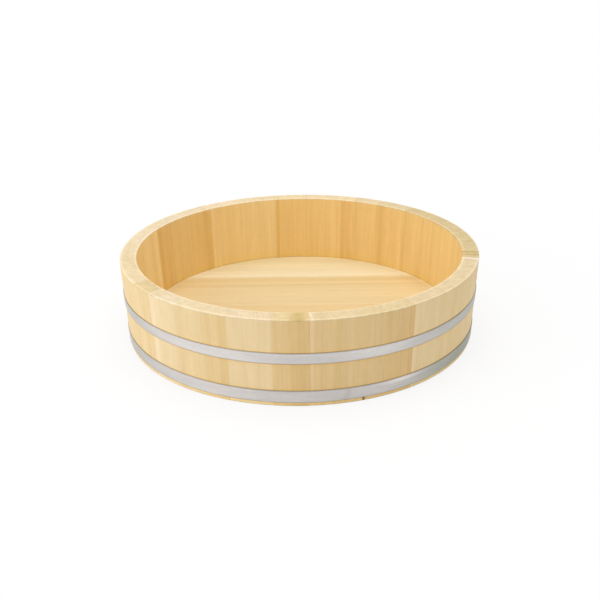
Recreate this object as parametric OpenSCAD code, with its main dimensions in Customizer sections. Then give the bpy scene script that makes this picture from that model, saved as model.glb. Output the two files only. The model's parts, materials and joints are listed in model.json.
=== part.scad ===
// Hangiri: a wide, shallow rice tub of straight wooden staves round a boarded floor,
// held by two flat steel hoops. The origin is at the middle of the foot, on the ground.

/* [Tub] */
// Outer diameter across the rim
rim_d = 750; // [700:10:800]
// Outer diameter across the foot, less than the rim so that the hoops bind
foot_d = 736; // [680:4:740]
// Height from the ground to the rim
tub_h = 175; // [150:5:220]
// Thickness of the staves
wall_t = 34; // [28:1:40]
// Bevel on both edges of the rim
rim_bevel = 2; // [1:0.5:4]
// Bevel on both edges of the foot
foot_bevel = 2; // [1:0.5:3]

/* [Floor] */
// Thickness of the floor boards
board_t = 16; // [12:1:20]
// Height of the floor's underside above the ground
floor_z = 7; // [5:1:12]
// Depth of the groove round the inside of the staves that holds the floor
groove_depth = 6; // [4:1:10]
// Bevel round the floor's lower edge, with which it is driven into the groove
board_bevel = 2; // [1:0.5:3]
// Room left round and above the floor in its groove
floor_play = 0.2; // [0.1:0.1:0.5]

/* [Hoops] */
// Thickness of the hoop steel
hoop_t = 1.2; // [0.8:0.2:2]
// Bevel on the outer edges of the hoops
hoop_bevel = 0.3; // [0.1:0.1:0.4]
// Width of the upper hoop
upper_hoop_w = 21; // [16:1:26]
// Height of the upper hoop's lower edge above the ground
upper_hoop_z = 88; // [76:2:100]
// Width of the lower hoop
lower_hoop_w = 24; // [18:1:30]
// Height of the lower hoop's lower edge above the ground
lower_hoop_z = 8; // [7:1:14]

/* [Pegs] */
// Diameter of the bamboo pegs
peg_d = 5; // [4:0.5:7]
// Length of a peg, half of it in each neighbour
peg_l = 26; // [20:1:30]
// Length of the point at each end of a peg
peg_point = 2; // [1:0.5:3]
// Room round a peg in its bore, on the diameter
peg_play = 0.1; // [0.05:0.05:0.2]
// Height of the lower pegs above the ground
low_peg_z = 52; // [44:2:60]
// Distance of the upper pegs below the rim
high_peg_drop = 45; // [30:5:50]
// Distance of the outer pegs of a floor joint from the floor's edge
peg_inset = 60; // [50:5:80]

/* [Nails] */
// Diameter of the head of the nails under the lower hoop
nail_head_d = 4.6; // [3.6:0.2:5]
// Thickness of the nail heads
nail_head_t = 1; // [0.6:0.1:1.4]
// Diameter of the nail shanks
nail_d = 2; // [1.4:0.1:2.4]
// Length of the nail shanks
nail_l = 16; // [12:1:20]
// Room round a nail shank in its hole, on the diameter
nail_play = 0.05; // [0.05:0.05:0.1]
// Gap between the lower hoop and the nail heads
nail_gap = 0.3; // [0.1:0.1:0.5]

/* [Hidden] */
// Staves in turn, counter-clockwise from above: width round the rim in millimetres,
// and tone of the wood from 0, the palest, to 3. The widths are scaled to close the ring.
STAVES = [
    [102, 1], [96, 1], [94, 1], [90, 2], [67, 1], [46, 3], [85, 1], [85, 2], [99, 0], [91, 0],
    [82, 2], [60, 2], [59, 3], [97, 0], [93, 1], [73, 1], [79, 1], [61, 1], [71, 0], [67, 1],
    [47, 2], [84, 0], [67, 3], [90, 2], [50, 2], [64, 3], [82, 0], [87, 1], [111, 1], [77, 1]];
// Direction of the seam before the first stave
first_seam = -1.8;
// Floor boards from front to back: width in millimetres and tone. They are scaled to
// span the floor.
BOARDS = [[46, 2], [162, 1], [163, 3], [165, 2], [144, 1]];
// Directions of the nails
nail_angles = [48, 168, 288];
// Wood tones from pale to dark, then the bamboo, the hoops and the nails
wood_tones = ["#f2dfb4", "#ecd3a0", "#e4c68f", "#d9b77d"];
bamboo_tone = "#d8c48a";
steel_tone = "#cdced0";
nail_tone = "#7a5c40";

stave_count = len(STAVES);
board_count = len(BOARDS);

// Sum of the first n widths of a list of rows
function run(rows, n) = n == 0 ? 0 : run(rows, n - 1) + rows[n - 1][0];
// Direction of the seam before stave i
function seam(i) = first_seam + 360 * run(STAVES, i) / run(STAVES, stave_count);
// Outer and inner radius of the wall at height z
function out_r(z) = foot_d / 2 + (rim_d - foot_d) / 2 * z / tub_h;
function in_r(z) = out_r(z) - wall_t;
// Lean of the wall from upright
wall_lean = atan((rim_d - foot_d) / 2 / tub_h);

groove_r = in_r(floor_z) + groove_depth;
floor_r = groove_r - floor_play;
groove_top = floor_z + board_t + floor_play;
// Place across the tub of the joint before board i
function joint_y(i) = floor_r * (2 * run(BOARDS, i) / run(BOARDS, board_count) - 1);
// Half the length of the joint before board i
function joint_x(i) = sqrt(floor_r * floor_r - joint_y(i) * joint_y(i));

peg_heights = [low_peg_z, tub_h - high_peg_drop];
nail_z = lower_hoop_z - nail_gap - nail_head_d / 2;
round_fn = 360;
small_fn = 32;

function two_digits(n) = n < 10 ? str("0", n) : str(n);
function stave_name(i) = str("stave_", two_digits(i + 1));
function board_name(i) = str("floor_board_", i + 1);

// Section of the wall, in radius and height: rim and foot bevelled, groove for the floor
module wall_section() {
    polygon([
        [out_r(0) - foot_bevel, 0],
        [out_r(foot_bevel), foot_bevel],
        [out_r(tub_h - rim_bevel), tub_h - rim_bevel],
        [out_r(tub_h) - rim_bevel, tub_h],
        [in_r(tub_h) + rim_bevel, tub_h],
        [in_r(tub_h - rim_bevel), tub_h - rim_bevel],
        [in_r(groove_top), groove_top],
        [groove_r, groove_top],
        [groove_r, floor_z],
        [in_r(floor_z), floor_z],
        [in_r(foot_bevel), foot_bevel],
        [in_r(0) + foot_bevel, 0]]);
}

// A peg with a point at each end along Z, its middle at the origin
module peg() {
    half = peg_l / 2 - peg_point;
    cylinder(d = peg_d, h = 2 * half, center = true, $fn = small_fn);
    for (end = [0, 1])
        mirror([0, 0, end])
            translate([0, 0, half])
                cylinder(d1 = peg_d, d2 = peg_d / 2, h = peg_point, $fn = small_fn);
}

// The bore that a peg sits in
module peg_bore() {
    cylinder(d = peg_d + peg_play, h = peg_l + peg_play, center = true, $fn = small_fn);
}

// Puts a child across the seam before stave i, at both peg heights
module across_seam(i) {
    for (z = peg_heights)
        rotate([0, 0, seam(i)])
            translate([out_r(z) - wall_t / 2, 0, z])
                rotate([90, 0, 0])
                    children();
}

// Puts a child across the joint before board i, at the middle and near both ends
module across_joint(i) {
    for (side = [-1, 0, 1])
        translate([side * (joint_x(i) - peg_inset), joint_y(i), floor_z + board_t / 2])
            rotate([90, 0, 0])
                children();
}

// Puts a child on the outside of the wall under the lower hoop, with Z straight out of
// the wall
module at_nails() {
    for (angle = nail_angles)
        rotate([0, 0, angle])
            translate([out_r(nail_z), 0, nail_z])
                rotate([0, 90 + wall_lean, 0])
                    children();
}

module stave(i) {
    color(wood_tones[STAVES[i][1]])
        difference() {
            rotate([0, 0, seam(i)])
                rotate_extrude(angle = seam(i + 1) - seam(i), $fn = round_fn)
                    wall_section();
            across_seam(i) peg_bore();
            across_seam(i + 1) peg_bore();
            at_nails()
                translate([0, 0, -nail_l])
                    cylinder(d = nail_d + nail_play, h = 2 * nail_l, $fn = small_fn);
        }
}

// The whole floor as one disc, bevelled round its lower edge
module floor_disc() {
    translate([0, 0, floor_z])
        rotate_extrude($fn = round_fn)
            polygon([
                [0, 0],
                [floor_r - board_bevel, 0],
                [floor_r, board_bevel],
                [floor_r, board_t],
                [0, board_t]]);
}

module floor_board(i) {
    color(wood_tones[BOARDS[i][1]])
        difference() {
            intersection() {
                floor_disc();
                translate([-rim_d / 2, joint_y(i), 0])
                    cube([rim_d, joint_y(i + 1) - joint_y(i), tub_h]);
            }
            if (i > 0) across_joint(i) peg_bore();
            if (i < board_count - 1) across_joint(i + 1) peg_bore();
        }
}

// A closed welded band round the staves, from height z up by w, bevelled outside
module hoop(z, w) {
    top = z + w;
    color(steel_tone)
        rotate_extrude($fn = round_fn)
            polygon([
                [out_r(z), z],
                [out_r(z) + hoop_t - hoop_bevel, z],
                [out_r(z + hoop_bevel) + hoop_t, z + hoop_bevel],
                [out_r(top - hoop_bevel) + hoop_t, top - hoop_bevel],
                [out_r(top) + hoop_t - hoop_bevel, top],
                [out_r(top), top]]);
}

module stave_pegs() {
    color(bamboo_tone)
        for (i = [0:stave_count - 1]) across_seam(i) peg();
}

module board_pegs() {
    color(bamboo_tone)
        for (i = [1:board_count - 1]) across_joint(i) peg();
}

// Flat-headed nails that keep the lower hoop from slipping down
module hoop_nails() {
    color(nail_tone)
        at_nails() {
            cylinder(d = nail_head_d, h = nail_head_t, $fn = small_fn);
            translate([0, 0, -nail_l])
                cylinder(d = nail_d, h = nail_l, $fn = small_fn);
        }
}

for (i = [0:stave_count - 1])
    stave(i);
for (i = [0:board_count - 1])
    floor_board(i);
hoop(upper_hoop_z, upper_hoop_w);  // upper_hoop
hoop(lower_hoop_z, lower_hoop_w);  // lower_hoop
stave_pegs();
board_pegs();
hoop_nails();
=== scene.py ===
"""Looks of a coopered rice tub: planed staves, a boarded floor and two steel hoops.

Lengths are in metres. Directions are in degrees, counter-clockwise from +X seen from above,
and the viewer stands on the -Y side.
"""
import json
import math
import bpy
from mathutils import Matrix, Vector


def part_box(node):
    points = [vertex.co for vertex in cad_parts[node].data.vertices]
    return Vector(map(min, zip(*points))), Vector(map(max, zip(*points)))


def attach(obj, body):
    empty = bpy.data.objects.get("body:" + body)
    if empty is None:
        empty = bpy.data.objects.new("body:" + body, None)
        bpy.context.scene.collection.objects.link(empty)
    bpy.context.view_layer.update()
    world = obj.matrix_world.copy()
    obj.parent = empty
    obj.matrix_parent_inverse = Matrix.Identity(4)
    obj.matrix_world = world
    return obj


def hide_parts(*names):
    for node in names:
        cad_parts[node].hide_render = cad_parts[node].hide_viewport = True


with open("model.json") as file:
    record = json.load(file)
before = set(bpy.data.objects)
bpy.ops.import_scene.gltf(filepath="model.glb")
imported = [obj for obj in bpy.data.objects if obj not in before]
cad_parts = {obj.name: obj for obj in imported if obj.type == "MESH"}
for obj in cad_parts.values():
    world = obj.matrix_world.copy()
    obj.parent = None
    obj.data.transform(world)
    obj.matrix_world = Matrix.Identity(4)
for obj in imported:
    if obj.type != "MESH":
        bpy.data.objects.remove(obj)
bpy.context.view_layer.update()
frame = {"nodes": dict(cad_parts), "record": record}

from types import SimpleNamespace

import bpy
import numpy as np
from mathutils import Matrix, Vector


def linear(red, green, blue):
    """Scene-linear colour of an 8-bit display colour."""
    c = np.array([red, green, blue]) / 255
    low = c / 12.92
    high = ((c + 0.055) / 1.055) ** 2.4
    return (*np.where(c <= 0.04045, low, high).tolist(), 1.0)


# The tub. The wall's faces stop a little short of its rim and foot, where the look of sawn
# wood fades in
RIM_R = 0.375
FOOT_R = 0.368
TUB_H = 0.175
WALL_T = 0.034
EDGE_ROUND = 0.002
END_ZONE = 0.003
END_FADE = 0.0008
STAVES = [f"stave_{n:02d}" for n in range(1, 31)]
BOARDS = [f"floor_board_{n}" for n in range(1, 6)]

# The floor and its groove. The slack is how far points of the wall's outside stand off the
# heights of the groove's corners
FLOOR_LOW = 0.007
FLOOR_TOP = 0.023
GROOVE_DEPTH = 0.006
GROOVE_SLACK = 0.0015
FLOOR_PLAY = 0.0002
BOARD_BEVEL = 0.002
BOARD_ROUND = 0.0004
BOARD_TIP = 0.004
FLOOR_R = FOOT_R + (RIM_R - FOOT_R) * FLOOR_LOW / TUB_H - WALL_T + GROOVE_DEPTH - FLOOR_PLAY

# The pegs' bores, and the cells of faces that they are cut into
BORE_R = 0.00255
BORE_DEPTH = 0.01305
BORE_SIDES = 16
BORE_CELL = 0.006
PEG_HEIGHTS = (0.052, 0.130)
PEG_INSET = 0.060
BOARD_COLUMNS = 12
BOARD_PEG_CELLS = (3, 5, 7)

# The hoops. Each weld is a direction; near it the hoop is worked out more finely, and its bead
# leans by a share of the height
HOOP_T = 0.0012
HOOP_ROUND = 0.0004
WELDS = {"upper_hoop": 112.0, "lower_hoop": 283.1}
WELD_REACH = 0.016
WELD_CLEAR = 0.017
WELD_LEAN = 0.35
WELD_HALF = 0.006
WELD_BEAD = 0.00008
# Painted shade and painted highlights on stretches of the hoops: direction and half width in
# degrees, how much darker (brighter, a painted highlight, if negative), and from which share
# of the hoop's height up
HOOP_PAINTED_LIGHT_AND_SHADE = {
    "upper_hoop": [
        (242, 18, -0.18, 0),
        (292, 12, -0.16, 0),
        (340, 30, 0.20, 0),
        (206, 12, 0.12, 0),
    ],
    "lower_hoop": [
        (242, 14, -0.12, 0),
        (296, 10, -0.08, 0),
        (335, 30, 0.40, 0),
        (206, 12, 0.14, 0),
        (301, 6, -0.40, 0.7),
    ],
}

# The nails. The head's edge is a share of its height
NAIL_DIRECTIONS = (48.0, 168.0, 288.0)
NAIL_Z = 0.0054
NAIL_HEAD_R = 0.0023
NAIL_HEAD_T = 0.001
NAIL_HEAD_EDGE = 0.35
NAIL_R = 0.001
NAIL_L = 0.016
NAIL_POINT = 0.004

# The wood's finishes: the colours of its early and its late growth
TONES = {
    "pale_wood": (linear(240, 217, 172), linear(226, 192, 138)),
    "straw_wood": (linear(236, 210, 160), linear(222, 184, 128)),
    "honey_wood": (linear(232, 203, 150), linear(216, 175, 118)),
    "tan_wood": (linear(225, 194, 139), linear(207, 164, 106)),
}
END_EARLY = linear(226, 206, 167)
END_LATE = linear(198, 169, 124)

# Tints of the wood: on a warm piece, inside the tub (partly painted bounce light), low inside
# (painted bounce light), on the strip at the foot (painted light), close to a hoop and on a
# yellow rim
WHITE = (1, 1, 1, 1)
WARM = (1.02, 0.94, 0.82, 1.0)
# Inside the tub: partly the inside's own warmer tone, partly painted bounce light
INSIDE = (1.06, 1.0, 0.78, 1.0)
# Painted bounce light: warmer low on the inner wall, near the floor
PAINTED_CORNER_BOUNCE = (1.0, 0.99, 0.85, 1.0)
# Painted light: the strip at the foot, under the lower hoop, drawn brighter for light from the
# floor
PAINTED_FOOT_LIGHT = (1.17, 1.18, 1.10, 1.0)
# Warmer close to a hoop's edge
NEAR_HOOP_WARMTH = (1.03, 0.99, 0.86, 1.0)
YELLOW = (1.0, 0.975, 0.82)

# The growth rings: their width, how far they sway, and how unevenly they come, in rings. Late
# wood darkens and ends at these shares of a ring. Noise from the first number to the second
# takes a ring's strength from the third to the fourth. The last is for the sawn ends' rings
RING = 0.0031
SWAY = 0.012
UNEVEN = 3.0
LATE_DARKENS = (0.3, 0.9)
LATE_ENDS = (0.92, 1.0)
RING_STRENGTH = (0.3, 0.75, 0.2, 1.0)
END_FIGURE = 0.5

# How often the wood's patterns repeat in a metre: along the radius, or across the pith in both
# ways and along the log
UNEVEN_SCALE = 120.0
STRENGTH_SCALE = 330.0
BAND_SCALE = 48.0
SWAY_SCALE = (11, 11, 2.2)
DRIFT_SCALE = (30, 30, 1.5)
FIBRE_SCALE = (1100, 1100, 22)
FLECK_SCALE = (170, 170, 4)
BLOTCH_SCALE = (75, 75, 75)

# Detail and unevenness of the noises that aren't smooth
COARSE = (3.0, 0.6)
ROLLED_NOISE = (4.0, 0.7)

# How much each pattern changes the wood's brightness
BAND_OUTSIDE = 0.08
BAND_WITHIN = 0.12
DRIFT = 0.10
FIBRE = 0.08
FLECK = 0.14
FACE_BLOTCH = 0.07
END_BLOTCH = 0.36

# Places where the wood is darker or paler, mostly painted shade and painted highlights: how much,
# and from where to where
# Painted shade in the inner corner of wall and floor, and how far up it reaches
CORNER_SHADE = 0.10
CORNER_REACH = 0.004
PAINTED_BOUNCE_REACH = 0.03
FOOT_STRIP = (0.006, 0.009)
# Painted shadow along the foot, where the tub meets the ground
GROUND_SHADE = 0.35
GROUND_REACH = (0.0006, 0.0024)
# Painted shade: a dark line on the wood along each hoop's edges, weaker on the strip at the foot
HOOP_EDGE_SHADE = 0.4
HOOP_EDGE_SHADE_REACH = (0.0004, 0.0022)
HOOP_EDGE_SHADE_AT_FOOT = 0.4
HOOP_WARM_REACH = (0.001, 0.008)
NAIL_STAIN = 0.6
NAIL_STAIN_HALF = 0.0021
# Painted highlight along the rounded edges of rim and foot, weaker in a dark streak
EDGE_LIGHT = 0.14
EDGE_LIGHT_REACH = (0.0025, 0.006)
EDGE_LIGHT_NARROWER = 3.0
STREAK_HIDES = 5.0
# Painted highlight: a pale line on the floor along the foot of the wall
FLOOR_EDGE_LIGHT = 0.06
FLOOR_EDGE_REACH = (0.011, 0.004)
# Powers of a shade's green and blue: on the whole, and in streaks, the nail's stain and the
# corner's painted shade
SHADE_POWERS = (1.2, 1.6)
STREAK_STAIN_AND_SHADE_POWERS = (1.4, 3.0)

# The wood's surface: how much fibres and rings raise it, its relief's depth and strength, its
# roughness from least to most, and its shine
FIBRE_RAISES = 0.6
RING_RAISES = 0.5
WOOD_RELIEF = (0.00012, 0.6)
WOOD_ROUGH = (0.48, 0.68)
WOOD_SHINE = 0.3

# Streaks in the wood: place across the piece from its middle and half width in millimetres,
# then how much darker (paler if negative) on the planed faces and on the sawn ends
STREAKS = {
    "stave_03": [(40, 3, 0.07, 0.02)],
    "stave_04": [(24, 11, 0.05, 0.0), (-29, 5, -0.06, 0.0)],
    "stave_05": [(24, 4, 0.08, 0.03)],
    "stave_06": [(16, 4, -0.11, -0.04), (-18, 2, -0.10, -0.04)],
    "stave_07": [(26, 10, 0.04, 0.0), (-31, 7, -0.03, 0.0)],
    "stave_08": [(34, 4, 0.10, 0.03)],
    "stave_10": [(35, 2.5, -0.08, -0.04)],
    "stave_11": [(-26, 9, 0.07, 0.02)],
    "stave_13": [(15, 5, 0.03, 0.03), (-20, 5, -0.06, 0.0)],
    "stave_14": [(-34, 4, -0.03, 0.0), (-16, 12, 0.05, 0.0)],
    "stave_19": [(-25, 9, -0.06, 0.05)],
    "stave_21": [(15, 8, 0.045, 0.0)],
    "stave_23": [(14, 14, 0.06, 0.20), (-16, 9, -0.05, 0.0)],
    "stave_24": [(-40, 2.5, -0.06, -0.12), (4, 9, 0.045, 0.0)],
    "stave_25": [(-12, 7, 0.03, 0.0)],
    "stave_26": [(25, 8, 0.03, 0.02)],
    "stave_27": [(-36, 4, -0.03, 0.0)],
    "stave_29": [(52, 4, -0.12, -0.30)],
    "stave_30": [(-19, 4, 0.10, 0.24), (-4, 4, 0.10, 0.24)],
    "floor_board_4": [(60, 22, 0.045, 0), (36, 1.5, 0.10, 0)],
    "floor_board_5": [(35, 14, 0.05, 0), (-55, 14, -0.04, 0)],
}
NO_STREAK = (0, 1, 0, 0)
# Pieces paler or deeper than their finish: brightness and warmth
SHADES = {
    "stave_01": (0.98, 0.15),
    "stave_02": (0.98, 0.15),
    "stave_03": (0.95, 0.2),
    "stave_05": (0.965, 0.3),
    "stave_07": (0.995, 0.4),
    "stave_08": (1.045, 0.2),
    "stave_10": (0.99, 0.45),
    "stave_12": (1.0, -0.1),
    "stave_13": (1.03, 0.2),
    "stave_19": (0.98, 0.1),
    "stave_22": (0.96, 0.3),
    "stave_23": (1.03, 0.2),
    "stave_24": (0.98, 0.2),
    "stave_25": (0.98, 0.2),
    "stave_26": (1.02, 0.3),
    "stave_27": (0.96, 0.4),
    "floor_board_1": (1.0, -0.3),
    "floor_board_2": (0.98, -0.4),
    "floor_board_3": (1.02, -0.4),
    "floor_board_4": (0.96, -0.6),
    "floor_board_5": (0.97, -1.4),
}
# Sawn rims that differ from the others: brightness and yellowness
RIM_SHADES = {
    "stave_01": (0.83, 0.9),
    "stave_02": (0.83, 0.9),
    "stave_03": (0.86, 0.9),
    "stave_04": (0.91, 0.5),
    "stave_06": (1.00, 0.4),
    "stave_08": (0.98, 0.4),
    "stave_10": (1.05, -0.7),
    "stave_11": (1.00, -0.4),
    "stave_12": (1.00, -0.4),
    "stave_13": (0.98, -0.4),
    "stave_14": (1.02, -0.5),
    "stave_18": (0.91, 0.9),
    "stave_19": (1.03, -0.5),
    "stave_22": (1.04, -0.5),
    "stave_23": (0.94, 0.8),
    "stave_24": (0.96, 0.4),
    "stave_25": (0.94, 0.6),
    "stave_26": (0.90, 0.6),
    "stave_27": (0.98, -0.1),
    "stave_28": (0.94, 0.3),
    "stave_29": (0.95, 0.1),
    "stave_30": (0.83, 1.0),
}
PLAIN_RIM = (1.0, 0.0)

# What chance gives each piece, from least to most: the pith's distance to the side and outwards
# or up, how far the grain leans, where in the log the piece was, and its look
SEED = 75175
SEAM_ROUND = (0.0003, 0.0006)
STAVE_SUNK = (0.00003, 0.00015)
STAVE_PITH_SIDE = (0.09, 0.30)
STAVE_PITH_OUT = (-0.10, 0.10)
STAVE_LEAN = (-0.012, 0.012)
BOARD_PITH_SIDE = (0.16, 0.4)
BOARD_PITH_UP = (-0.05, 0.05)
BOARD_LEAN = (-0.006, 0.006)
ALONG_LOG = (0, 9)
BRIGHTNESS = (0.985, 1.015)
WARMTH = (0, 0.3)
FIGURE = (0.1, 0.4)

# The hoops' steel, with its patterns' repeats round the hoop in a metre and in its height, and
# how much they change its brightness
STEEL_CLEAN = linear(206, 202, 199)
# The steel's colour where painted shade is strongest, a little greener, and how strong that shade
# must be
STEEL_IN_PAINTED_SHADE = linear(203, 205, 190)
STEEL_PAINTED_SHADE_FULLY = 0.4
ROLLED_SCALE = (24, 10, 0)
ROLLED = 0.30
CLOUD_SCALE = (9, 1.5, 0)
CLOUD = 0.30
SMEAR_SCALE = (160, 4, 0)
SMEAR = 0.16
# Its upper and lower edges, darkened by painted shade, in shares of its height, and weld, then its
# surface
STEEL_TOP = (0.90, 0.97)
STEEL_FOOT = (0.03, 0.12)
STEEL_EDGE_SHADE_AND_WELD = 0.22
STEEL_RELIEF = (0.00004, 0.5)
STEEL_ROUGH = (0.38, 0.54)
STEEL_ROLLED_ROUGH = 0.1
STEEL_METAL = 0.5

# The bamboo and the nails
BAMBOO_DEEP = linear(196, 176, 122)
BAMBOO_PALE = linear(226, 208, 158)
BAMBOO_SCALE = (900, 900, 900)
BAMBOO_RELIEF = (0.0001, 0.5)
BAMBOO_ROUGH = 0.5
NAIL_BROWN = linear(108, 78, 48)
NAIL_RUBBED = linear(150, 118, 80)
NAIL_SCALE = (700, 700, 700)
NAIL_RUBS = (0.35, 0.7)
NAIL_ROUGH = (0.65, 0.40)
NAIL_METAL = 0.4

# The studio. The floor shows plain white from the second distance out
SKY = 0.6
PAPER = (0.9, 0.9, 0.9, 1)
PAPER_WHITE = 0.8
PAPER_FADE = (0.4, 1.1)
PAPER_HALF = 30.0
LAMPS = {
    "side_light": ((-3.0, -1.35, 1.3), 2.2, 32.0),
    "top_light": ((0.1, 0.0, 3.0), 2.8, 52.0),
}

# The camera was fitted to the tub's edges in the photograph
CAMERA_DISTANCE = 1.828
CAMERA_ELEVATION = math.radians(20.05)
CAMERA_PITCH = math.radians(23.67)
CAMERA_ROLL = math.radians(-0.77)
CAMERA_LENS = 51.6
CAMERA_SENSOR = 36.0

# How finely the surfaces are worked out
STAVE_STEP = 0.0035
BOARD_STEP = math.radians(1.6)
HOOP_STEPS = 480
HOOP_FACE_ROWS = 6
WELD_STEPS = 33
ROUND_STEPS = 5
NAIL_SIDES = 24
DOME_STEPS = 6
SHARP = math.radians(40)


def wall_r(z):
    """Outer radius of the wall at height z: a straight line from foot to rim."""
    return FOOT_R + (RIM_R - FOOT_R) * z / TUB_H


def hoop_heights(name):
    """Heights of a hoop's lower and upper edges."""
    low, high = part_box(name)
    return low[2], high[2]


def socket(tree, target, value):
    """Links a socket to another, or sets it to a value."""
    if isinstance(value, bpy.types.NodeSocket):
        tree.links.new(value, target)
    else:
        target.default_value = value


def node(tree, kind, inputs=None, **settings):
    """A new shader node with its settings and its inputs, by name or number."""
    made = tree.nodes.new("ShaderNode" + kind)
    for key, value in settings.items():
        setattr(made, key, value)
    for key, value in (inputs or {}).items():
        socket(tree, made.inputs[key], value)
    return made


def calc(tree, operation, a, b=0.0, c=0.0):
    """One number worked out from up to three."""
    return node(tree, "Math", {0: a, 1: b, 2: c}, operation=operation).outputs[0]


def product(tree, *numbers):
    """Numbers multiplied together."""
    made = numbers[0]
    for number in numbers[1:]:
        made = calc(tree, "MULTIPLY", made, number)
    return made


def between(tree, share, at_0, at_1):
    """The number that lies a share of the way from one to another."""
    return calc(tree, "MULTIPLY_ADD", share, at_1 - at_0, at_0)


def bell(tree, away):
    """A bell curve: e to the power of minus a distance squared."""
    return calc(tree, "EXPONENT", product(tree, away, away, -1.0))


def vary(tree, level, pattern, share):
    """A level times one plus a share of a pattern's distance from its middle, 0.5."""
    off_middle = calc(tree, "SUBTRACT", pattern, 0.5)
    return product(tree, level, calc(tree, "MULTIPLY_ADD", off_middle, share, 1.0))


def dim(tree, level, where, share=1.0):
    """A level made smaller by a share of itself as far as another number goes to 1."""
    return product(tree, level, calc(tree, "MULTIPLY_ADD", where, -share, 1.0))


def spread(tree, value, low, high, to_low=0.0, to_high=1.0):
    """A smooth step of a number from one range to another."""
    inputs = {"Value": value, "From Min": low, "From Max": high}
    inputs |= {"To Min": to_low, "To Max": to_high}
    return node(tree, "MapRange", inputs, interpolation_type="SMOOTHSTEP").outputs[0]


def parts(tree, vector):
    """The three numbers of a vector."""
    return node(tree, "SeparateXYZ", {0: vector}).outputs


def joined(tree, x, y, z):
    """Three numbers as a vector or a colour."""
    return node(tree, "CombineXYZ", {0: x, 1: y, 2: z}).outputs[0]


def stretch(tree, vector, scale):
    """A vector times another, part by part."""
    return node(tree, "VectorMath", {0: vector, 1: scale}, operation="MULTIPLY").outputs[0]


def size_of(tree, vector):
    """The length of a vector."""
    return node(tree, "VectorMath", {0: vector}, operation="LENGTH").outputs["Value"]


def attribute(tree, name, output="Vector"):
    """What a mesh attribute holds at a point."""
    return node(tree, "Attribute", attribute_name=name).outputs[output]


def tub_place(tree):
    """A point's place in the tub's frame."""
    return node(tree, "TexCoord").outputs["Object"]


def blend(tree, factor, a, b, how="MIX", **settings):
    """Two colours mixed by a factor."""
    inputs = {0: factor, 6: a, 7: b}
    return node(tree, "Mix", inputs, data_type="RGBA", blend_type=how, **settings).outputs[2]


def times(tree, colour, tint):
    """A colour times a tint."""
    return blend(tree, 1.0, colour, tint, "MULTIPLY")


def tinted(tree, colour, share, tint, **settings):
    """A colour times a tint, as far as a share goes."""
    return times(tree, colour, blend(tree, share, WHITE, tint, **settings))


def noise(tree, vector, scale, detail=2.0, roughness=0.5, output=0):
    """Noise about 0.5 over a vector, with a scale for each of its parts."""
    inputs = {"Vector": stretch(tree, vector, scale), "Scale": 1.0}
    inputs |= {"Detail": detail, "Roughness": roughness}
    return node(tree, "TexNoise", inputs).outputs[output]


def noise_along(tree, number, scale, detail=2.0):
    """Noise about 0.5 along one number."""
    inputs = {"W": number, "Scale": scale, "Detail": detail}
    return node(tree, "TexNoise", inputs, noise_dimensions="1D").outputs[0]


def bump(tree, height, depth, strength):
    """The tilt that a small relief of a height and a depth gives the surface."""
    inputs = {"Height": height, "Distance": depth, "Strength": strength}
    return node(tree, "Bump", inputs).outputs[0]


def material(name):
    """A new material and its empty node tree."""
    made = bpy.data.materials.new(name)
    made.use_nodes = True
    made.node_tree.nodes.clear()
    return made, made.node_tree


def surface(tree, shader):
    """Makes a shader the material's surface."""
    node(tree, "OutputMaterial", {"Surface": shader.outputs[0]})


def principled(tree, colour, rough, others):
    """Makes the surface from a colour, a roughness and what else the shader is given."""
    inputs = {"Base Color": colour, "Roughness": rough, **others}
    surface(tree, node(tree, "BsdfPrincipled", inputs))


def streak(tree, across, name):
    """How much darker a streak makes the wood at a place across the log: its strength times a
    bell curve of the distance from its place, in half widths."""
    place, half_width, strength = parts(tree, attribute(tree, name))
    away = calc(tree, "DIVIDE", calc(tree, "SUBTRACT", across, place), half_width)
    return product(tree, bell(tree, away), strength)


def from_hoops(tree, height):
    """Distance up or down to the nearest edge of a hoop."""
    edges = []
    for low, high in (hoop_heights(name) for name in WELDS):
        off = calc(tree, "ABSOLUTE", calc(tree, "SUBTRACT", height, (low + high) / 2))
        edges.append(calc(tree, "ABSOLUTE", calc(tree, "SUBTRACT", off, (high - low) / 2)))
    return calc(tree, "MINIMUM", *edges)


def whereabouts(tree):
    """Where a point of the wood lies: its height, radius and distance from a hoop's edge, and
    from 0 to 1 whether it is on a sawn end, inside the tub, on the floor, outside or at the
    foot.

    The "place" attribute holds the end in x, the inside in y and the floor in z. Outside is
    what neither of the last two is, and the foot is the lowest strip of the outside.
    """
    place = tub_place(tree)
    height = parts(tree, place)[2]
    end, inside, floor = parts(tree, attribute(tree, "place"))
    outside = calc(tree, "SUBTRACT", calc(tree, "SUBTRACT", 1.0, inside), floor)
    return SimpleNamespace(
        height=height,
        radius=size_of(tree, stretch(tree, place, (1, 1, 0))),
        from_hoops=from_hoops(tree, height),
        end=end,
        inside=inside,
        floor=floor,
        outside=outside,
        foot=product(tree, spread(tree, height, *FOOT_STRIP, 1.0, 0.0), outside),
    )


def edge_light(tree, at):
    """Where a highlight is painted: 1 on the rounded edges of rim and foot, 0 away from them.

    It falls with the distance from the nearer face of the wall, or with three times the
    distance from the nearer end where that is more.
    """
    slope = (RIM_R - FOOT_R) / TUB_H
    depth = calc(tree, "SUBTRACT", calc(tree, "MULTIPLY_ADD", at.height, slope, FOOT_R), at.radius)
    from_nearer = []
    for place, width in ((depth, WALL_T), (at.height, TUB_H)):
        off_middle = calc(tree, "ABSOLUTE", calc(tree, "SUBTRACT", place, width / 2))
        from_nearer.append(calc(tree, "SUBTRACT", width / 2, off_middle))
    from_face, from_end = from_nearer
    away = calc(tree, "MAXIMUM", from_face, product(tree, from_end, EDGE_LIGHT_NARROWER))
    return spread(tree, away, *EDGE_LIGHT_REACH, 1.0, 0.0)


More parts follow.
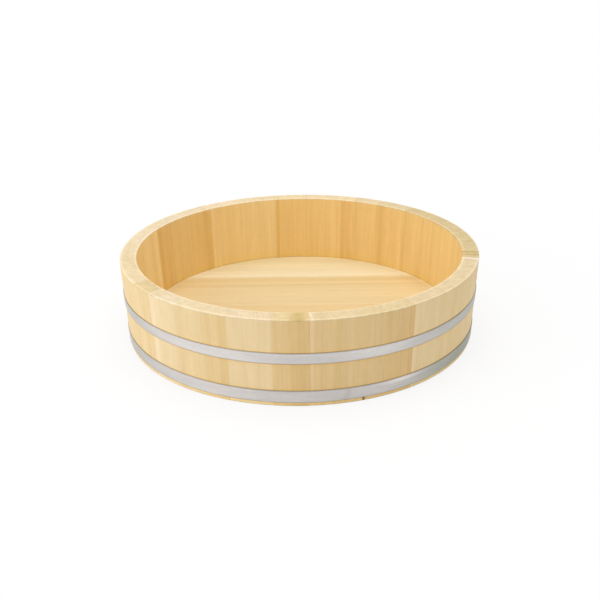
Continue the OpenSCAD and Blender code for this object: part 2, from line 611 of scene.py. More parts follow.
# Painted highlights on the wall's rounded edges and on the floor by the wall
def rubbed(tree, at, dark):
    """How much paler painted highlights make the wood: on the wall's rounded edges, less so in a
    dark streak, and on the floor from a centimetre before the wall."""
    clear = calc(tree, "MULTIPLY_ADD", calc(tree, "MAXIMUM", dark, 0.0), -STREAK_HIDES, 1.0)
    edges = product(tree, calc(tree, "MAXIMUM", clear, 0.0), edge_light(tree, at), EDGE_LIGHT)
    # Painted highlight on the floor by the wall
    foot_of_wall = wall_r(FLOOR_TOP) - WALL_T
    start, full = (foot_of_wall - reach for reach in FLOOR_EDGE_REACH)
    floor = product(tree, spread(tree, at.radius, start, full), at.floor, FLOOR_EDGE_LIGHT)
    return calc(tree, "ADD", dim(tree, edges, at.floor), floor)


def painted_hoop_and_ground_shade(tree, at):
    """How much darker painted shade makes the outside: close to a hoop's edge, less so at the
    foot, and next to the ground, whichever is more."""
    # Painted shade along the hoops' edges
    hoop = spread(tree, at.from_hoops, *HOOP_EDGE_SHADE_REACH, HOOP_EDGE_SHADE, 0.0)
    hoop = product(tree, hoop, spread(tree, at.height, *FOOT_STRIP, HOOP_EDGE_SHADE_AT_FOOT, 1.0))
    # Painted shadow next to the ground
    ground = spread(tree, at.height, *GROUND_REACH, GROUND_SHADE, 0.0)
    return product(tree, calc(tree, "MAXIMUM", hoop, ground), at.outside)


def nail_stain(tree):
    """How much darker iron has stained the wood: a bell curve of the distance round the foot
    from the nearest nail, all of which stand equally far apart."""
    x, y, _ = parts(tree, tub_place(tree))
    turn = calc(tree, "SUBTRACT", calc(tree, "ARCTAN2", y, x), math.radians(NAIL_DIRECTIONS[0]))
    away = calc(tree, "PINGPONG", turn, math.pi / len(NAIL_DIRECTIONS))
    return product(tree, bell(tree, product(tree, away, FOOT_R / NAIL_STAIN_HALF)), NAIL_STAIN)


def corners(tree, at):
    """How much darker the wood is: painted shade in the corner of wall and floor, and the foot at
    a nail.
    """
    inner = spread(tree, at.height, FLOOR_TOP, FLOOR_TOP + CORNER_REACH, CORNER_SHADE, 0.0)
    stain = product(tree, nail_stain(tree), at.foot)
    return calc(tree, "ADD", product(tree, inner, at.inside), stain)


def rings(tree, log):
    """Growth rings round the pith, as the radius and the darkness of the late wood.

    The radius is the distance from the pith, moved by slow noise. Divided by a ring's width,
    with slow noise added, it counts the rings. In each the darkness rises smoothly and falls
    off fast at its end, and noise along the radius makes some rings stronger.
    """
    sway = stretch(tree, noise(tree, log, SWAY_SCALE, 1.0, output="Color"), (SWAY, SWAY, 0))
    inputs = {0: stretch(tree, log, (1, 1, 0)), 1: sway}
    radius = size_of(tree, node(tree, "VectorMath", inputs, operation="ADD").outputs[0])
    even = calc(tree, "DIVIDE", radius, RING)
    count = calc(tree, "MULTIPLY_ADD", noise_along(tree, radius, UNEVEN_SCALE), UNEVEN, even)
    part = calc(tree, "FRACT", count)
    rise = spread(tree, part, *LATE_DARKENS)
    fall = spread(tree, part, *LATE_ENDS, 1.0, 0.0)
    strength = spread(tree, noise_along(tree, radius, STRENGTH_SCALE), *RING_STRENGTH)
    return radius, product(tree, rise, fall, strength)


def darkening(tree, level, powers):
    """A tint for a darker or paler place: a level in red, and powers of it in green and blue,
    because wood that is darker is redder too."""
    green, blue = (calc(tree, "POWER", level, power) for power in powers)
    return joined(tree, level, green, blue)


def wood_colour(tree, at, line, figure, warmth, tones):
    """The wood's colour before light and dark places.

    It goes from early to late wood along the ring lines, which show less or more by the
    piece's figure, and on an end to sawn wood of its own tint. Tints follow for a warm piece,
    inside the tub (partly painted bounce light), low on its wall (painted bounce light), on the
    strip at the foot (painted light) and beside a hoop.
    """
    planed = blend(tree, product(tree, line, figure), *tones)
    sawn = blend(tree, product(tree, line, END_FIGURE), END_EARLY, END_LATE)
    sawn = times(tree, sawn, attribute(tree, "rim_tint"))
    # Painted bounce light low on the inner wall
    low = spread(tree, at.height, FLOOR_TOP, FLOOR_TOP + PAINTED_BOUNCE_REACH, 1.0, 0.0)
    # Warmer close to a hoop's edge
    beside = spread(tree, at.from_hoops, *HOOP_WARM_REACH, 1.0, 0.0)
    colour = blend(tree, at.end, planed, sawn)
    colour = tinted(tree, colour, warmth, WARM, clamp_factor=False)
    # Inside the tub: warmer, partly painted bounce light
    colour = tinted(tree, colour, at.inside, INSIDE)
    colour = tinted(tree, colour, product(tree, low, at.inside), PAINTED_CORNER_BOUNCE)
    # Painted light on the strip at the foot
    colour = tinted(tree, colour, at.foot, PAINTED_FOOT_LIGHT)
    return tinted(tree, colour, product(tree, beside, at.outside), NEAR_HOOP_WARMTH)


def wood_level(tree, at, log, radius, fibre, shade):
    """How bright the wood is: the piece's own level, varied by broad bands along the radius, a
    slow drift, fibres, flecks and blotches, which are strongest on the sawn ends."""
    banding = between(tree, at.outside, BAND_WITHIN, BAND_OUTSIDE)
    blotches = between(tree, at.end, FACE_BLOTCH, END_BLOTCH)
    level = vary(tree, shade, noise_along(tree, radius, BAND_SCALE, 3.0), banding)
    level = vary(tree, level, noise(tree, log, DRIFT_SCALE), DRIFT)
    level = vary(tree, level, fibre, FIBRE)
    level = vary(tree, level, noise(tree, log, FLECK_SCALE), FLECK)
    return vary(tree, level, noise(tree, log, BLOTCH_SCALE, *COARSE), blotches)


def wood(name, *tones):
    """Planed softwood cut from one log, in the tones of its early and its late growth.

    The "grain" attribute is the point in the log: across the pith in x and y, along it in z.
    The "lot" attribute is the piece's brightness, its warmth and how strongly its rings show.
    The colour is that of the growth rings times two tints. The first is the brightness, less
    the painted shade beside the hoops and at the ground, plus the painted highlights. The second
    is one less the two streaks, the nail's stain and the painted shade in the corner.
    """
    made, tree = material(name)
    at = whereabouts(tree)
    log = attribute(tree, "grain")
    shade, warmth, figure = parts(tree, attribute(tree, "lot"))
    radius, line = rings(tree, log)
    fibre = noise(tree, log, FIBRE_SCALE, *COARSE)
    across = parts(tree, log)[0]
    dark = calc(tree, "ADD", streak(tree, across, "streak_1"), streak(tree, across, "streak_2"))

    # Painted shade beside the hoops and next to the ground
    level = dim(tree, wood_level(tree, at, log, radius, fibre, shade), painted_hoop_and_ground_shade(tree, at))
    # Painted highlights on the rounded edges and on the floor by the wall
    level = calc(tree, "ADD", level, rubbed(tree, at, dark))
    # One less the two streaks, the nail's stain and the painted shade in the corner
    streak_stain_and_shade_level = calc(tree, "SUBTRACT", 1.0, calc(tree, "ADD", dark, corners(tree, at)))
    colour = wood_colour(tree, at, line, figure, warmth, tones)
    colour = times(tree, colour, darkening(tree, level, SHADE_POWERS))
    colour = times(tree, colour, darkening(tree, streak_stain_and_shade_level, STREAK_STAIN_AND_SHADE_POWERS))

    ring_height = product(tree, line, figure, RING_RAISES)
    raised = calc(tree, "MULTIPLY_ADD", fibre, FIBRE_RAISES, ring_height)
    others = {"Normal": bump(tree, raised, *WOOD_RELIEF), "Specular IOR Level": WOOD_SHINE}
    principled(tree, colour, between(tree, fibre, *WOOD_ROUGH), others)
    return made


def hoop_steel(name):
    """Dull rolled strip: streaks along the band, a slow cloudiness, and the joint's dark weld,
    with painted shade along its edges and painted shade and highlights round it.

    The "band" attribute is the length round the hoop from its weld in x, the share of its
    height in y, and the nearness of the weld in z. The other attribute is how much darker
    painted shade makes it there, or, where it is negative, how much brighter a painted
    highlight makes it.
    """
    made, tree = material(name)
    band = attribute(tree, "band")
    painted_shading = attribute(tree, "painted_shading", "Fac")
    _, height, weld = parts(tree, band)
    rolled = noise(tree, band, ROLLED_SCALE, *ROLLED_NOISE)
    cloud = noise(tree, band, CLOUD_SCALE, *COARSE)
    smear = noise(tree, band, SMEAR_SCALE)
    level = vary(tree, 1.0, rolled, ROLLED)
    level = vary(tree, level, cloud, CLOUD)
    level = vary(tree, level, smear, SMEAR)
    # Painted shade along the hoop's upper and lower edges
    level = dim(tree, level, spread(tree, height, *STEEL_TOP), STEEL_EDGE_SHADE_AND_WELD)
    level = dim(tree, level, spread(tree, height, *STEEL_FOOT, 1.0, 0.0), STEEL_EDGE_SHADE_AND_WELD)
    level = dim(tree, level, product(tree, weld, smear), STEEL_EDGE_SHADE_AND_WELD)
    # Painted shade and painted highlights round the hoop; strong painted shade also turns the
    # steel greener
    level = dim(tree, level, painted_shading)
    share = spread(tree, painted_shading, 0.0, STEEL_PAINTED_SHADE_FULLY)
    bare = blend(tree, share, STEEL_CLEAN, STEEL_IN_PAINTED_SHADE)
    rough = between(tree, smear, *STEEL_ROUGH)
    rough = calc(tree, "MULTIPLY_ADD", rolled, STEEL_ROLLED_ROUGH, rough)
    others = {"Metallic": STEEL_METAL, "Normal": bump(tree, rolled, *STEEL_RELIEF)}
    principled(tree, times(tree, bare, joined(tree, level, level, level)), rough, others)
    return made


def bamboo(name):
    """Split bamboo: fine pale fibres, darker here and there."""
    made, tree = material(name)
    fibre = noise(tree, tub_place(tree), BAMBOO_SCALE, *COARSE)
    colour = blend(tree, fibre, BAMBOO_DEEP, BAMBOO_PALE)
    principled(tree, colour, BAMBOO_ROUGH, {"Normal": bump(tree, fibre, *BAMBOO_RELIEF)})
    return made


def dark_nail(name):
    """Tarnished nail: brown, lighter and smoother where the hammer has rubbed it."""
    made, tree = material(name)
    rub = noise(tree, tub_place(tree), NAIL_SCALE)
    colour = blend(tree, spread(tree, rub, *NAIL_RUBS), NAIL_BROWN, NAIL_RUBBED)
    principled(tree, colour, between(tree, rub, *NAIL_ROUGH), {"Metallic": NAIL_METAL})
    return made


def solid(name, points, faces, finish, attributes):
    """A closed mesh with point attributes, smooth except across its sharp edges."""
    mesh = bpy.data.meshes.new(name)
    mesh.from_pydata(points.tolist(), [], faces)
    for key, values in attributes.items():
        vector = values.ndim == 2
        made = mesh.attributes.new(key, "FLOAT_VECTOR" if vector else "FLOAT", "POINT")
        made.data.foreach_set("vector" if vector else "value", values.astype(np.float32).ravel())
    mesh.shade_smooth()
    mesh.set_sharp_from_angle(angle=SHARP)
    mesh.materials.append(finish)
    piece = bpy.data.objects.new(name, mesh)
    bpy.context.collection.objects.link(piece)
    return piece


def stand_for(piece, cad_node):
    """Puts a piece in the place of a CAD node."""
    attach(piece, "root")
    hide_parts(cad_node)


def grid(rows, columns, wrap=False):
    """Four-sided faces of a grid of points numbered row by row, each from a point to the next
    row and column. The columns close on themselves and, if wrap is set, the rows do too."""
    i = np.arange(rows if wrap else rows - 1)[:, None]
    j = np.arange(columns)[None, :]
    i_next = (i + 1) % rows
    j_next = (j + 1) % columns
    near = (i * columns + j, i_next * columns + j)
    far = (i_next * columns + j_next, i * columns + j_next)
    return np.stack([*near, *far], axis=-1).reshape(-1, 4)


def shrink(outlines, by):
    """Closed outlines moved inwards by a distance for each, at right angles to the line from
    the point before to the point after."""
    along = np.roll(outlines, -1, axis=-2) - np.roll(outlines, 1, axis=-2)
    along /= np.linalg.norm(along, axis=-1, keepdims=True)
    outwards = np.stack([along[..., 1], -along[..., 0]], axis=-1)
    return outlines - outwards * by[:, None, None]


def arris(length, step, soft):
    """Places along an edge-to-edge length, and how far the surface has sunk there.

    Both ends are rounded over by a quarter circle of radius soft; between them it is level.
    """
    turn = np.radians([0, 22, 45, 68, 90])
    places = soft * (1 - np.cos(turn))
    sunk = soft * (1 - np.sin(turn))
    count = max(3, int(round((length - 2 * soft) / step)))
    middle = np.linspace(soft, length - soft, count + 1)[1:-1]
    where = np.concatenate([places, middle, length - places[::-1]])
    depth = np.concatenate([sunk, np.zeros(len(middle)), sunk[::-1]])
    return where, depth


def bored_cell(cell, ring, lip, far):
    """New points and faces of a cell of four points with a blind bore in its middle.

    The mouth is a circle about the cell's middle, from its first corner round, and the bottom
    is the same circle deeper in. A fan of faces joins each corner to the mouth's nearest
    quarter, and one face fills the gap to the next corner. ring numbers the cell's corners,
    and lip is the first new number.
    """
    centre = cell.mean(axis=0)
    up = cell[:2].mean(axis=0) - centre
    up /= np.linalg.norm(up)
    side = cell[1] - cell[0]
    side -= up * (side @ up)
    side /= np.linalg.norm(side)
    inwards = np.cross(up, side) * (1 if far else -1)
    turn = np.radians(np.arange(BORE_SIDES) * 360 / BORE_SIDES - 45)[:, None]
    mouth = centre + BORE_R * (np.cos(turn) * up + np.sin(turn) * side)

    quarter = BORE_SIDES // 4
    here = (np.arange(BORE_SIDES) - quarter // 2) % BORE_SIDES
    after = (here + 1) % BORE_SIDES
    fans = np.stack([np.repeat(ring, quarter), lip + after, lip + here], axis=1)
    gaps = np.stack([ring, np.roll(ring, -1), lip + after[quarter - 1 :: quarter]], axis=1)
    lips = np.concatenate([fans.reshape(4, quarter, 3), gaps[:, None]], axis=1).reshape(-1, 3)
    here = lip + np.arange(BORE_SIDES)
    after = lip + (np.arange(BORE_SIDES) + 1) % BORE_SIDES
    wall = np.stack([here, after, after + BORE_SIDES, here + BORE_SIDES], axis=1)
    faces = [*lips.tolist(), *wall.tolist(), (here + BORE_SIDES).tolist()]
    return np.vstack([mouth, mouth + inwards * BORE_DEPTH]), faces


def end_face(loop, bored, start, first_new, far):
    """The flat end of a block, with a blind bore in each of the given cells.

    loop holds the end's points, numbered from start: side A, then side B backwards. A strip
    of cells joins A to B, and the points of the bores are numbered from first_new.
    """
    side_a = np.arange(len(loop) // 2)
    side_b = len(loop) - 1 - side_a
    cells = np.stack([side_a[:-1], side_a[1:], side_b[1:], side_b[:-1]], axis=1)
    points = np.empty((0, 3))
    faces = []
    for number, ring in enumerate(cells):
        if number in bored:
            lip = first_new + len(points)
            new_points, new_faces = bored_cell(loop[ring], ring + start, lip, far)
            points = np.vstack([points, new_points])
            faces += new_faces
        else:
            faces.append((ring + start).tolist())
    if far:
        faces = [face[::-1] for face in faces]
    return points, faces


def block(loops, near_bored, far_bored):
    """Points and faces of a block: a row of like outlines, closed by a flat end at each side."""
    rows, columns = loops.shape[:2]
    points = loops.reshape(-1, 3)
    faces = grid(rows, columns).tolist()
    near_points, near_faces = end_face(loops[0], near_bored, 0, len(points), False)
    points = np.vstack([points, near_points])
    last_row = (rows - 1) * columns
    far_points, far_faces = end_face(loops[-1], far_bored, last_row, len(points), True)
    return np.vstack([points, far_points]), faces + near_faces + far_faces


def corner_round(inset, z, towards_r, towards_z):
    """A quarter round at a corner of the wall, from the level face to the leaning one: away
    from the corner by one less the sine along the radius, by one less the cosine in height."""
    turn = np.linspace(0, math.pi / 2, ROUND_STEPS)
    height = z + towards_z * EDGE_ROUND * (1 - np.cos(turn))
    around = wall_r(height) - inset + towards_r * EDGE_ROUND * (1 - np.sin(turn))
    return np.stack([around, height], axis=1)


def wall_outline():
    """Section of the wall in radius and height, and the cells of it that hold a bore.

    Side A is the outside from foot to rim and side B the inside, with as many points. Both
    ends are rounded, and the floor's groove is cut into the inside.
    """
    groove_r = FLOOR_R + FLOOR_PLAY
    groove_top = FLOOR_TOP + FLOOR_PLAY
    low_points = (FLOOR_LOW - GROOVE_SLACK, FLOOR_LOW + 2 * GROOVE_SLACK)
    top_points = (groove_top - 2 * GROOVE_SLACK, groove_top + GROOVE_SLACK)
    cells = [z + side * BORE_CELL for z in PEG_HEIGHTS for side in (-1, 1)]
    outer_z = [END_ZONE, *low_points, *top_points, *cells, TUB_H - END_ZONE]
    outside = [[wall_r(z), z] for z in outer_z]
    groove = [
        [wall_r(FLOOR_LOW) - WALL_T, FLOOR_LOW],
        [groove_r, FLOOR_LOW],
        [groove_r, groove_top],
        [wall_r(groove_top) - WALL_T, groove_top],
    ]
    lowest, *upper = [[wall_r(z) - WALL_T, z] for z in (END_ZONE, *cells, TUB_H - END_ZONE)]
    foot_out = corner_round(0, 0, -1, 1)
    rim_out = corner_round(0, TUB_H, -1, -1)[::-1]
    foot_in = corner_round(WALL_T, 0, 1, 1)
    rim_in = corner_round(WALL_T, TUB_H, 1, -1)[::-1]
    side_a = np.vstack([foot_out, outside, rim_out])
    side_b = np.vstack([foot_in, lowest, groove, upper, rim_in])
    first_bored = ROUND_STEPS + outer_z.index(cells[0])
    return np.vstack([side_a, side_b[::-1]]), (first_bored, first_bored + 2)


def points_of(cad_node):
    """The corners of a CAD node's mesh."""
    mesh = frame["nodes"][cad_node].data
    flat = np.empty(3 * len(mesh.vertices), np.float32)
    mesh.vertices.foreach_get("co", flat)
    return flat.reshape(-1, 3).astype(float)


def seams(cad_node):
    """Directions of a stave's two seams, read from its CAD node, in radians."""
    x, y, _ = points_of(cad_node).T
    middle = math.atan2(y.mean(), x.mean())
    turn = (np.arctan2(y, x) - middle + math.pi) % (2 * math.pi) - math.pi
    return middle + turn.min(), middle + turn.max()


def wall_places(points):
    """Where the points of a stave lie: on a sawn end, or inside the tub, which is nearer to
    the axis than the middle of the wall."""
    x, y, z = points.T
    away = np.minimum(z, TUB_H - z)
    end = np.clip((END_ZONE - away) / END_FADE, 0, 1)
    inside = (np.hypot(x, y) < wall_r(z) - WALL_T / 2) * (1 - end)
    return np.stack([end, inside, 0 * end], axis=1)


def wood_attributes(name, grain, place, lot, origin):
    """The attributes that the wood is drawn from.

    A rim's tint goes from white to yellow by its yellowness, times its brightness. Each streak
    is its place across the log, its half width and its strength, which goes from the faces'
    to the sawn ends' as a point nears an end.
    """
    count = len(grain)
    brightness, yellowness = RIM_SHADES.get(name, PLAIN_RIM)
    tint = brightness * (1 + yellowness * (np.array(YELLOW) - 1))
    attributes = {"grain": grain, "place": place}
    attributes |= {"lot": np.tile(lot, (count, 1)), "rim_tint": np.tile(tint, (count, 1))}
    streaks = [*STREAKS.get(name, []), NO_STREAK, NO_STREAK]
    for number in (0, 1):
        at, width, on_face, on_end = streaks[number]
        strength = on_face + (on_end - on_face) * place[:, 0]
        across = np.full(count, at / 1000 + origin)
        half_width = np.full(count, width / 1000)
        attributes[f"streak_{number + 1}"] = np.stack([across, half_width, strength], axis=1)
    return attributes


def stave(name, finish, lot, rng):
    """One stave: the wall's section carried round from seam to seam, both seams rounded over.

    It sits a hair behind its neighbours, and its grain leans a little, as on planed staves:
    the place across the log grows by a small share of the height.
    """
    start, end = seams(name)
    outline, bored = wall_outline()
    where, sunk = arris((end - start) * RIM_R, STAVE_STEP, rng.uniform(*SEAM_ROUND))
    sunk = sunk + rng.uniform(*STAVE_SUNK)
    r, z = np.moveaxis(shrink(outline, sunk), -1, 0)
    turn = (start + where / RIM_R)[:, None]
    loops = np.stack([r * np.cos(turn), r * np.sin(turn), z], axis=-1)
    points, faces = block(loops, bored, bored)

    middle = (start + end) / 2
    x, y, z = points.T
    out = x * math.cos(middle) + y * math.sin(middle) - (RIM_R - WALL_T / 2)
    along = y * math.cos(middle) - x * math.sin(middle)
    pith_side = rng.choice([-1, 1]) * rng.uniform(*STAVE_PITH_SIDE)
    pith_out = rng.uniform(*STAVE_PITH_OUT)
    across = along + pith_side + rng.uniform(*STAVE_LEAN) * z
    grain = np.stack([across, out + pith_out, z + rng.uniform(*ALONG_LOG)], axis=1)
    attributes = wood_attributes(name, grain, wall_places(points), lot, pith_side)
    return solid(name + "_wood", points, faces, finish, attributes)


def board_rows(sides, jointed):
    """Places from one side of a board to the other, and how far its surface has sunk there.

    They stand at equal angles round the floor's edge. A joint is rounded over by a quarter
    circle, and the disc's own edge isn't.
    """
    low, high = (math.asin(y / FLOOR_R) for y in sides)
    count = max(4, int((high - low) / BOARD_STEP))
    places = [FLOOR_R * np.sin(np.linspace(low, high, count))[1:-1]]
    sunk = [0 * places[0]]
    for y, inwards, joint in zip(sides, (1, -1), jointed):
        turn = np.radians([0, 30, 60, 90] if joint else [0])
        places.append(y + inwards * joint * BOARD_ROUND * (1 - np.cos(turn)))
        sunk.append(joint * BOARD_ROUND * (1 - np.sin(turn)))
    places = np.concatenate(places)
    order = np.argsort(places)
    return places[order], np.concatenate(sunk)[order]


def board_columns(y, has_pegs):
    """Places along a side of a board, in shares of half its length there: its ends and the
    cells round its pegs, or equal steps where it has none."""
    if not has_pegs:
        return np.linspace(1, -1, BOARD_COLUMNS)
    half = math.sqrt(FLOOR_R**2 - y**2)
    ends = np.array([half, half - EDGE_ROUND, half - 3 * EDGE_ROUND])
    pegs = half - PEG_INSET
    cells = [side * pegs + edge * BORE_CELL for side in (1, 0, -1) for edge in (1, -1)]
    return np.array([*ends, *cells, *-ends[::-1]]) / half


def board(name, finish, lot, rng):
    """One floor board: a slice of the floor's disc, its joints rounded over along the top.

    Each row across is an outline in x and height: side A along the top, side B below. The
    places of its points blend from one joint's pegs to the other's.
    """
    sides = [corner[1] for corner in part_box(name)]
    limit = math.sqrt(FLOOR_R**2 - BOARD_TIP**2)
    jointed = [abs(y) < FLOOR_R - BOARD_TIP for y in sides]
    near, far = (y if joint else math.copysign(limit, y) for y, joint in zip(sides, jointed))
    rows, sunk = board_rows((near, far), jointed)
    share = ((rows - near) / (far - near))[:, None]
    half = np.sqrt(np.maximum(FLOOR_R**2 - rows**2, BOARD_TIP**2))[:, None]
    near_columns = board_columns(near, jointed[0])
    far_columns = board_columns(far, jointed[1])
    columns = (near_columns + (far_columns - near_columns) * share) * half
    below = columns * (1 - BOARD_BEVEL / FLOOR_R)
    top = np.stack([columns, np.full_like(columns, FLOOR_TOP)], axis=-1)
    bottom = np.stack([below, np.full_like(below, FLOOR_LOW)], axis=-1)
    x, z = np.moveaxis(shrink(np.concatenate([top, bottom[:, ::-1]], axis=1), sunk), -1, 0)
    loops = np.stack([x, rows[:, None] + 0 * x, z], axis=-1)
    near_bored, far_bored = (BOARD_PEG_CELLS if joint else () for joint in jointed)
    points, faces = block(loops, near_bored, far_bored)

    x, y, z = points.T
    pith_side = rng.choice([-1, 1]) * rng.uniform(*BOARD_PITH_SIDE)
    across = y - (near + far) / 2 + pith_side + rng.uniform(*BOARD_LEAN) * x
    up = z + rng.uniform(*BOARD_PITH_UP)
    grain = np.stack([across, up, x + rng.uniform(*ALONG_LOG)], axis=1)
    place = np.tile((0.0, 0.0, 1.0), (len(points), 1))
    attributes = wood_attributes(name, grain, place, lot, pith_side)
    return solid(name + "_wood", points, faces, finish, attributes)


def hoop_section(low, high):
    """Section of a hoop, in distance from the wall and height: flat against the wall, its
    outer edges quarter circles."""
    turn = np.linspace(0, math.pi / 2, ROUND_STEPS)
    out = HOOP_T - HOOP_ROUND + HOOP_ROUND * np.sin(turn)
    up = HOOP_ROUND * (1 - np.cos(turn))
    lower = np.stack([out, low + up], axis=1)
    upper = np.stack([out, high - up], axis=1)[::-1]
    face_z = np.linspace(low, high, HOOP_FACE_ROWS)[1:-1]
    face = np.stack([np.full_like(face_z, HOOP_T), face_z], axis=1)
    return np.vstack([[[0, low]], lower, face, upper, [[0, high]]])


def hoop(name, finish):
    """A hoop: a thin section with rounded outer edges, carried once round the wall.

    Its ends are joined by a weld that leans a little, ground nearly flat: the bead's height is
    a bell curve of the distance from it.
    """
    low, high = hoop_heights(name)
    even = np.linspace(-math.pi, math.pi, HOOP_STEPS, endpoint=False)
    even = even[np.abs(even) > WELD_CLEAR / RIM_R]
    close = np.linspace(-WELD_REACH, WELD_REACH, WELD_STEPS) / RIM_R
    turns = np.sort(np.concatenate([even, close]))[:, None]
    proud, z = hoop_section(low, high).T
    length = turns * RIM_R + 0 * z
    weld = np.exp(-(((length - WELD_LEAN * (z - (low + high) / 2)) / WELD_HALF) ** 2))
    bead = WELD_BEAD * weld * (proud > HOOP_T - HOOP_ROUND)
    r = wall_r(z) + proud + bead
    angle = turns + math.radians(WELDS[name])
    points = np.stack([r * np.cos(angle), r * np.sin(angle), z + 0 * r], axis=-1)
    share = (z - low) / (high - low) + 0 * length
    # Painted shade and painted highlights round the hoop
    painted_shading = 0 * length
    for direction, half_width, dark, from_share in HOOP_PAINTED_LIGHT_AND_SHADE[name]:
        away = (angle - math.radians(direction) + math.pi) % (2 * math.pi) - math.pi
        fall = np.exp(-((away / math.radians(half_width)) ** 2))
        painted_shading = painted_shading + dark * fall * (share >= from_share)
    band = np.stack([length, share, weld], axis=-1)
    attributes = {"band": band.reshape(-1, 3), "painted_shading": painted_shading.ravel()}
    faces = grid(*r.shape, wrap=True).tolist()
    return solid(name + "_band", points.reshape(-1, 3), faces, finish, attributes)


def lathe(profile, sides):
    """A profile of radius and height turned about Z, from pole to pole: its points, its
    four-sided faces, and the triangles round the poles, which are the last two points."""
    turn = np.arange(sides) * 2 * math.pi / sides
    r, z = profile[1:-1].T[:, :, None]
    body = np.stack([r * np.cos(turn), r * np.sin(turn), z + 0 * turn], axis=-1).reshape(-1, 3)
    poles = [[0, 0, profile[0, 1]], [0, 0, profile[-1, 1]]]
    here = np.arange(sides)
    after = (here + 1) % sides
    last = len(body) - sides
    start_cap = np.stack([0 * here + len(body), after, here], axis=1)
    end_cap = np.stack([0 * here + len(body) + 1, last + here, last + after], axis=1)
    caps = np.stack([start_cap, end_cap], axis=1).reshape(-1, 3)
    return np.vstack([body, poles]), grid(len(r), sides)[:, ::-1], caps


def hoop_nails(finish):
    """The nails under the lower hoop: a low domed head on a pointed shank, square to the wall.

    The head's radius follows the cosine and its height the sine of a quarter turn.
    """
    dome = np.linspace(0, math.pi / 2, DOME_STEPS)
    dome_z = NAIL_HEAD_T * (NAIL_HEAD_EDGE + (1 - NAIL_HEAD_EDGE) * np.sin(dome))
    head = np.stack([NAIL_HEAD_R * np.cos(dome), dome_z], axis=1)
    point = [[0, -NAIL_L], [NAIL_R / 2, NAIL_POINT / 2 - NAIL_L], [NAIL_R, NAIL_POINT - NAIL_L]]
    shank = [*point, [NAIL_R, 0], [NAIL_HEAD_R, 0]]
    points, sides, caps = lathe(np.vstack([shank, head]), NAIL_SIDES)
    lean = math.atan((RIM_R - FOOT_R) / TUB_H)
    square = np.array(Matrix.Rotation(math.pi / 2 + lean, 3, "Y"))
    seated = points @ square.T + (wall_r(NAIL_Z), 0, NAIL_Z)
    nails = []
    faces = []
    for direction in NAIL_DIRECTIONS:
        turn = np.array(Matrix.Rotation(math.radians(direction), 3, "Z"))
        start = len(points) * len(nails)
        nails.append(seated @ turn.T)
        faces += [*(sides + start).tolist(), *(caps + start).tolist()]
    return solid("hoop_nail_set", np.vstack(nails), faces, finish, {})


def seen_directly(tree):
    """1 for the camera's rays and for reflections, 0 for the light that falls on surfaces."""
    path = node(tree, "LightPath").outputs
    seen = calc(tree, "MAXIMUM", path["Is Camera Ray"], path["Is Glossy Ray"])
    return calc(tree, "MAXIMUM", seen, path["Is Transmission Ray"])


def studio():
    """A plain pale floor, an even sky and soft lamps.

    The floor and the sky show white to the camera and in reflections. Round the tub the floor
    also shows its own light and shade, so that the tub's shadow stays.
    """
    made, tree = material("studio_paper")
    share = spread(tree, size_of(tree, tub_place(tree)), *PAPER_FADE, PAPER_WHITE, 1.0)
    share = product(tree, seen_directly(tree), share)
    paper = node(tree, "BsdfDiffuse", {"Color": PAPER}).outputs[0]
    white = node(tree, "Emission", {"Color": WHITE, "Strength": 1.0}).outputs[0]
    surface(tree, node(tree, "MixShader", {0: share, 1: paper, 2: white}))
    square = np.array([[-1, -1, 0], [1, -1, 0], [1, 1, 0], [-1, 1, 0]])
    solid("studio_floor", square * PAPER_HALF, [[0, 1, 2, 3]], made, {})

    world = bpy.data.worlds.new("studio_sky")
    bpy.context.scene.world = world
    world.use_nodes = True
    tree = world.node_tree
    tree.nodes.clear()
    sky = node(tree, "Background", {"Color": WHITE, "Strength": SKY}).outputs[0]
    white = node(tree, "Background", {"Color": WHITE, "Strength": 1.0}).outputs[0]
    mixed = node(tree, "MixShader", {0: seen_directly(tree), 1: sky, 2: white}).outputs[0]
    node(tree, "OutputWorld", {"Surface": mixed})
    for name, (at, size, power) in LAMPS.items():
        lamp(name, at, size, power)


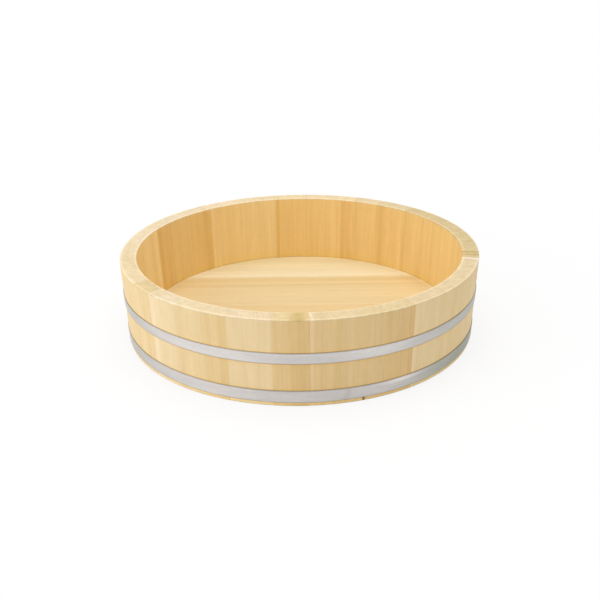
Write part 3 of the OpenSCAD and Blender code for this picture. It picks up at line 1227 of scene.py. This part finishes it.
def lamp(name, place, size, power):
    """A square soft lamp that faces the tub."""
    light = bpy.data.lights.new(name, "AREA")
    light.size = size
    light.energy = power
    made = bpy.data.objects.new(name, light)
    bpy.context.collection.objects.link(made)
    aim = Vector((0, 0, TUB_H / 2)) - Vector(place)
    made.location = place
    made.rotation_euler = aim.to_track_quat("-Z", "Y").to_euler()


def camera():
    """The camera, in front of the rim's centre, tipped down and a touch aside."""
    made = bpy.data.objects.new("camera", bpy.data.cameras.new("camera"))
    bpy.context.collection.objects.link(made)
    made.data.lens = CAMERA_LENS
    made.data.sensor_width = CAMERA_SENSOR
    back = CAMERA_DISTANCE * math.cos(CAMERA_ELEVATION)
    up = CAMERA_DISTANCE * math.sin(CAMERA_ELEVATION) + TUB_H
    forwards = np.array([0, math.cos(CAMERA_PITCH), -math.sin(CAMERA_PITCH)])
    upwards = np.array([0, math.sin(CAMERA_PITCH), math.cos(CAMERA_PITCH)])
    right = np.array([1.0, 0, 0])
    c, s = math.cos(CAMERA_ROLL), math.sin(CAMERA_ROLL)
    axes = np.stack([c * right + s * upwards, c * upwards - s * right, -forwards], axis=1)
    made.matrix_world = Matrix.Translation((0, -back, up)) @ Matrix(axes.tolist()).to_4x4()
    bpy.context.scene.camera = made


def dress():
    """Every piece of the tub in its finish."""
    finishes = {name: wood(name, *tones) for name, tones in TONES.items()}
    slots = {row["node"]: row["material_slot"] for row in frame["record"]["subparts"]}
    rng = np.random.default_rng(SEED)
    for make, names in ((stave, STAVES), (board, BOARDS)):
        for name in names:
            chance = (rng.uniform(*BRIGHTNESS), rng.uniform(*WARMTH))
            lot = (*SHADES.get(name, chance), rng.uniform(*FIGURE))
            stand_for(make(name, finishes[slots[name]], lot, rng), name)
    steel = hoop_steel("hoop_steel")
    for name in WELDS:
        stand_for(hoop(name, steel), name)
    stand_for(hoop_nails(dark_nail("nail_steel")), "hoop_nails")
    split = bamboo("bamboo")
    for name in ("stave_pegs", "board_pegs"):
        for place in frame["nodes"][name].material_slots:
            place.material = split


camera()
studio()
dress()

bpy.context.scene.view_settings.view_transform = "Standard"
